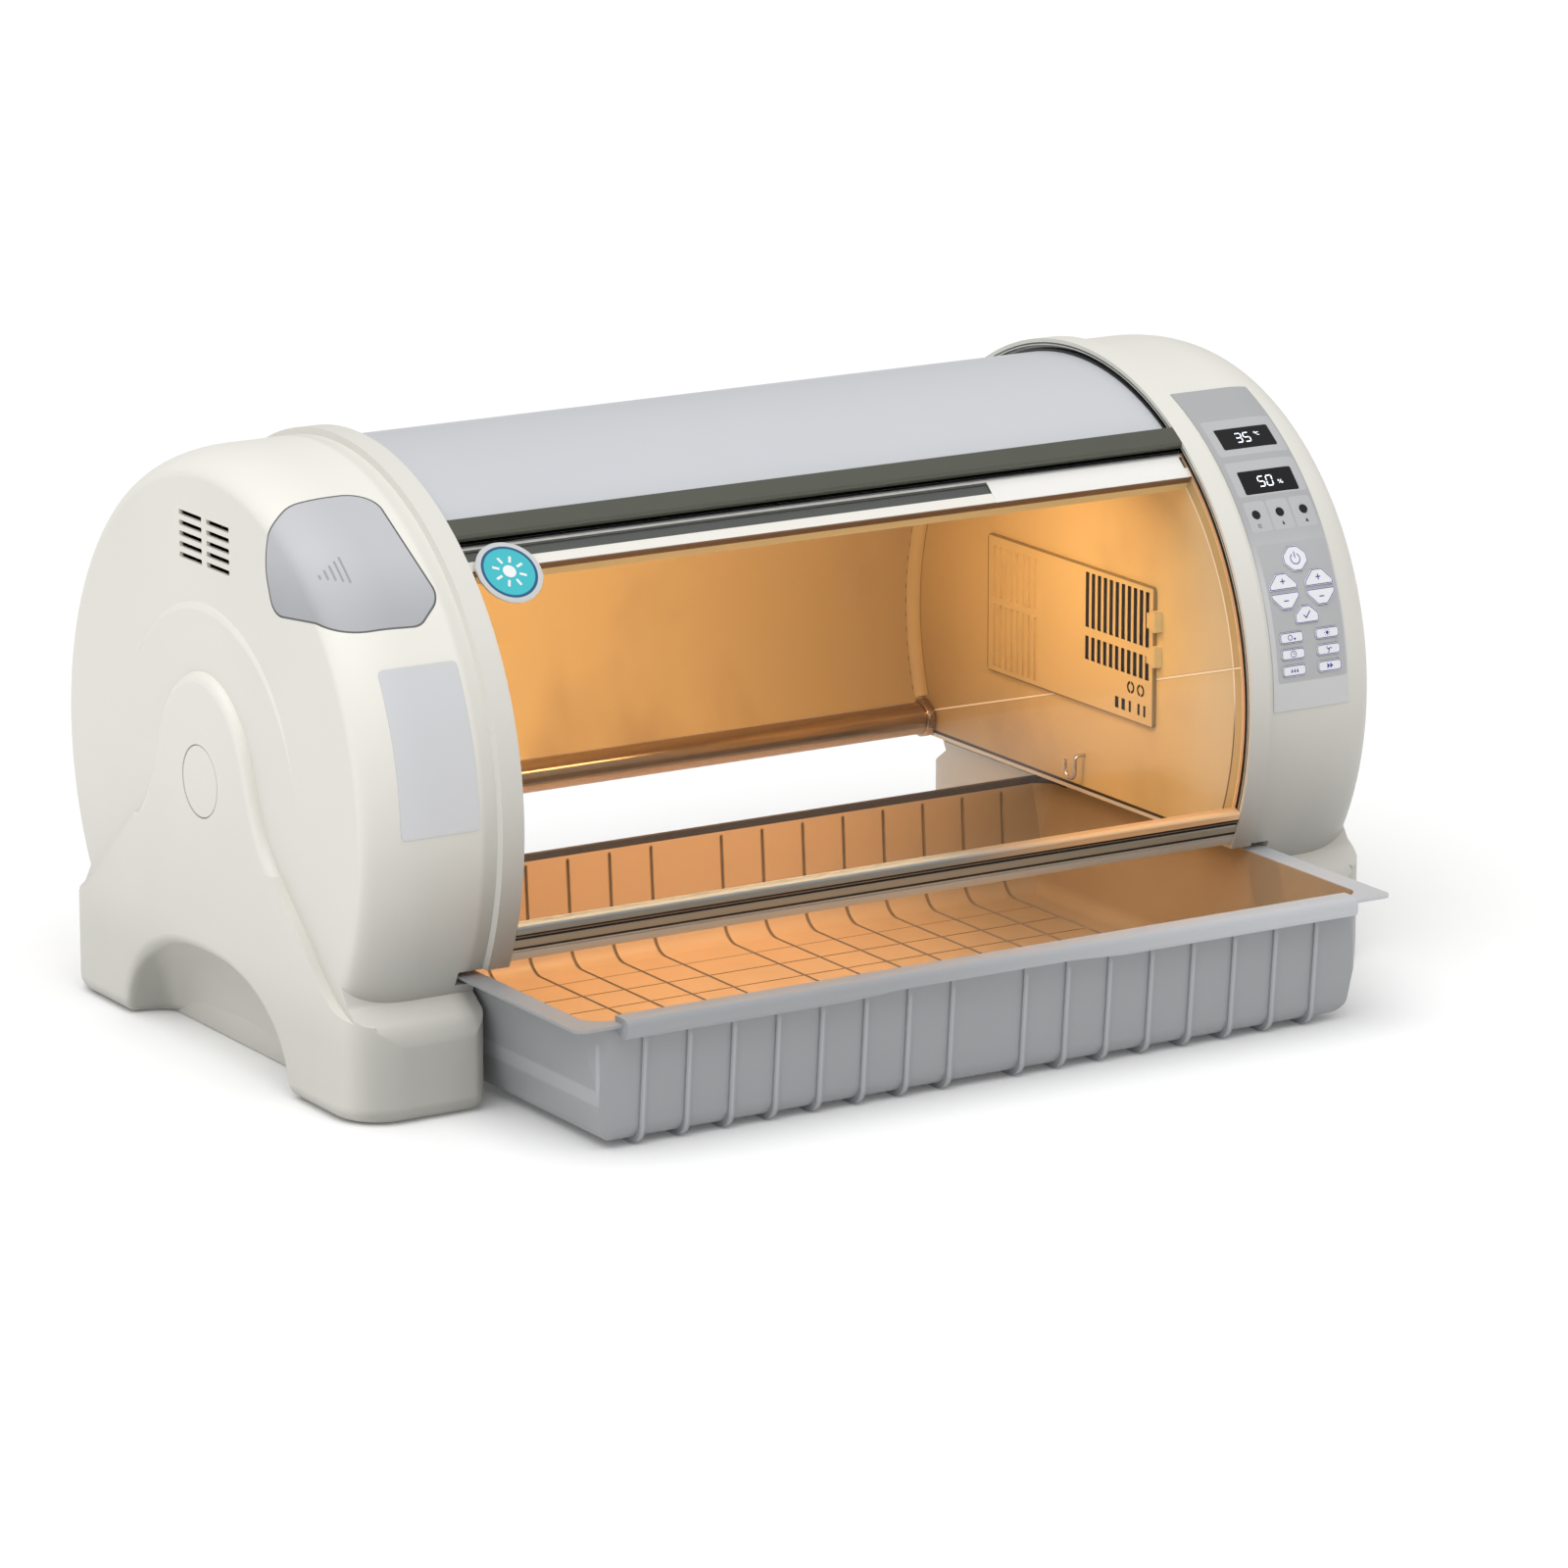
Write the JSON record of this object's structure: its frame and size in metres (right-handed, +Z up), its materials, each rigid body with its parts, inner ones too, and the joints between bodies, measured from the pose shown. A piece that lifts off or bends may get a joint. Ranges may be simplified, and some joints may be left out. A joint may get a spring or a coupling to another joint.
{
  "type": "pet brooder",
  "caption": "Lying drum brooder with two moulded end housings, a clear sliding door, a ribbed draw-out tray, and a curved control panel.",
  "frame": {"origin": "the point of the standing surface under the drum's axis, midway between the end housings", "axes": "+X along the drum towards the control panel's end, -Y out of the front where the tray draws out, +Z up"},
  "size_m": [0.9, 0.6431, 0.46],
  "materials": {
    "housing": "moulded cream plastic with a soft satin gloss",
    "pale_grey_plastic": "moulded pale grey plastic, satin",
    "roof": "smooth pale grey painted shell",
    "cabin_wall": "smooth white plastic lining",
    "track": "dark sliding track",
    "metal_bar": "bright drawn profile",
    "clear_sheet": "clear bent sheet",
    "olive_bar": "satin olive grey profile",
    "badge": "teal round plate with a ring",
    "white_strip": "bare white strip",
    "label": "bare grey plate",
    "tray": "moulded mid grey plastic",
    "runner": "low-friction strip",
    "rubber": "soft dark rubber",
    "screw_steel": "plated steel",
    "panel": "printed pale grey front plate",
    "display": "black display window",
    "lamp_lens": "dark round lens",
    "key": "white key with a blue outline",
    "circuit_board": "green circuit board",
    "black_plastic": "black moulded plastic",
    "sheet_metal": "plain sheet",
    "filter": "pleated filter fleece",
    "bottle": "translucent bottle",
    "lamp_glass": "frosted warm lamp tube"
  },
  "bodies": {
    "root": {"left_housing": "housing", "right_housing": "housing", "right_end_panel": "cabin_wall", "left_end_panel": "cabin_wall", "right_door_track": "track", "left_door_track": "track", "roof_shell": "roof", "roof_liner": "cabin_wall", "roof_front_bar": "metal_bar", "front_sill_rail": "metal_bar", "rear_rail": "metal_bar", "name_strip": "white_strip", "label_plate": "label", "tray_runners": "runner", "rubber_feet": "rubber", "hub_caps": "housing", "housing_screws": "screw_steel", "control_overlay": "panel", "key_mat": "rubber", "temperature_display": "display", "humidity_display": "display", "indicator_lamps": "lamp_lens", "control_board": "circuit_board", "mains_inlet": "black_plastic", "mains_switch_frame": "black_plastic", "power_supply": "sheet_metal", "air_grille": "cabin_wall", "grille_clips": "cabin_wall", "filter_pad": "filter", "air_duct": "cabin_wall", "fan_frame": "black_plastic", "heater_element": "sheet_metal", "mist_outlet": "cabin_wall", "water_bottle": "bottle", "bottle_cradle": "cabin_wall", "atomiser": "black_plastic", "lamp_tube": "lamp_glass", "lamp_holders": "cabin_wall", "probe_hook": "screw_steel"},
    "door": {"door_sheet": "clear_sheet", "door_handle_bar": "olive_bar", "door_bottom_bar": "olive_bar", "door_badge": "badge"},
    "tray": {"tray": "tray"},
    "access_cover": {"access_cover": "pale_grey_plastic"},
    "fan_rotor": {"fan_rotor": "black_plastic"},
    "mains_switch_rocker": {"mains_switch_rocker": "black_plastic"},
    "power_key": {"power_key": "key"},
    "temperature_up_key": {"temperature_up_key": "key"},
    "temperature_down_key": {"temperature_down_key": "key"},
    "humidity_up_key": {"humidity_up_key": "key"},
    "humidity_down_key": {"humidity_down_key": "key"},
    "set_key": {"set_key": "key"},
    "oxygen_key": {"oxygen_key": "key"},
    "lamp_key": {"lamp_key": "key"},
    "timer_key": {"timer_key": "key"},
    "fan_key": {"fan_key": "key"},
    "nebuliser_key": {"nebuliser_key": "key"},
    "pump_key": {"pump_key": "key"}
  },
  "joints": [
    {"name": "door_slide_round_drum", "type": "hinge", "parent": "root", "child": "door", "pos_m": [0, 0, 0.21], "axis": [-1, 0, 0], "range_deg": [0, 72]},
    {"name": "tray_slide", "type": "slide", "parent": "root", "child": "tray", "axis": [0, -1, 0], "range_m": [-0.15, 0.11]},
    {"name": "access_cover_lift_off", "type": "slide", "parent": "root", "child": "access_cover", "axis": [-0.5993, -0.5194, 0.6092], "range_m": [0, 0.07]},
    {"name": "fan_spin", "type": "hinge", "parent": "root", "child": "fan_rotor", "pos_m": [0.34, -0.062, 0.232], "axis": [1, 0, 0], "continuous": true},
    {"name": "mains_switch_rock", "type": "hinge", "parent": "root", "child": "mains_switch_rocker", "pos_m": [0.368, 0.24, 0.216], "axis": [0, 0, 1], "range_deg": [0, 12]},
    {"name": "power_key_press", "type": "slide", "parent": "root", "child": "power_key", "axis": [0, 0.8894, -0.4571], "range_m": [0, 0.0006], "stiffness_N_per_m": 400, "springref_m": -0.0002},
    {"name": "temperature_up_key_press", "type": "slide", "parent": "root", "child": "temperature_up_key", "axis": [0, 0.9298, -0.3681], "range_m": [0, 0.0006], "stiffness_N_per_m": 400, "springref_m": -0.0002},
    {"name": "temperature_down_key_press", "type": "slide", "parent": "root", "child": "temperature_down_key", "axis": [0, 0.9298, -0.3681], "range_m": [0, 0.0006], "stiffness_N_per_m": 400, "springref_m": -0.0002},
    {"name": "humidity_up_key_press", "type": "slide", "parent": "root", "child": "humidity_up_key", "axis": [0, 0.9298, -0.3681], "range_m": [0, 0.0006], "stiffness_N_per_m": 400, "springref_m": -0.0002},
    {"name": "humidity_down_key_press", "type": "slide", "parent": "root", "child": "humidity_down_key", "axis": [0, 0.9298, -0.3681], "range_m": [0, 0.0006], "stiffness_N_per_m": 400, "springref_m": -0.0002},
    {"name": "set_key_press", "type": "slide", "parent": "root", "child": "set_key", "axis": [0, 0.9568, -0.2907], "range_m": [0, 0.0006], "stiffness_N_per_m": 400, "springref_m": -0.0002},
    {"name": "oxygen_key_press", "type": "slide", "parent": "root", "child": "oxygen_key", "axis": [0, 0.9732, -0.23], "range_m": [0, 0.0006], "stiffness_N_per_m": 400, "springref_m": -0.0002},
    {"name": "lamp_key_press", "type": "slide", "parent": "root", "child": "lamp_key", "axis": [0, 0.9732, -0.23], "range_m": [0, 0.0006], "stiffness_N_per_m": 400, "springref_m": -0.0002},
    {"name": "timer_key_press", "type": "slide", "parent": "root", "child": "timer_key", "axis": [0, 0.9837, -0.1797], "range_m": [0, 0.0006], "stiffness_N_per_m": 400, "springref_m": -0.0002},
    {"name": "fan_key_press", "type": "slide", "parent": "root", "child": "fan_key", "axis": [0, 0.9837, -0.1797], "range_m": [0, 0.0006], "stiffness_N_per_m": 400, "springref_m": -0.0002},
    {"name": "nebuliser_key_press", "type": "slide", "parent": "root", "child": "nebuliser_key", "axis": [0, 0.9917, -0.1288], "range_m": [0, 0.0006], "stiffness_N_per_m": 400, "springref_m": -0.0002},
    {"name": "pump_key_press", "type": "slide", "parent": "root", "child": "pump_key", "axis": [0, 0.9917, -0.1288], "range_m": [0, 0.0006], "stiffness_N_per_m": 400, "springref_m": -0.0002}
  ]
}
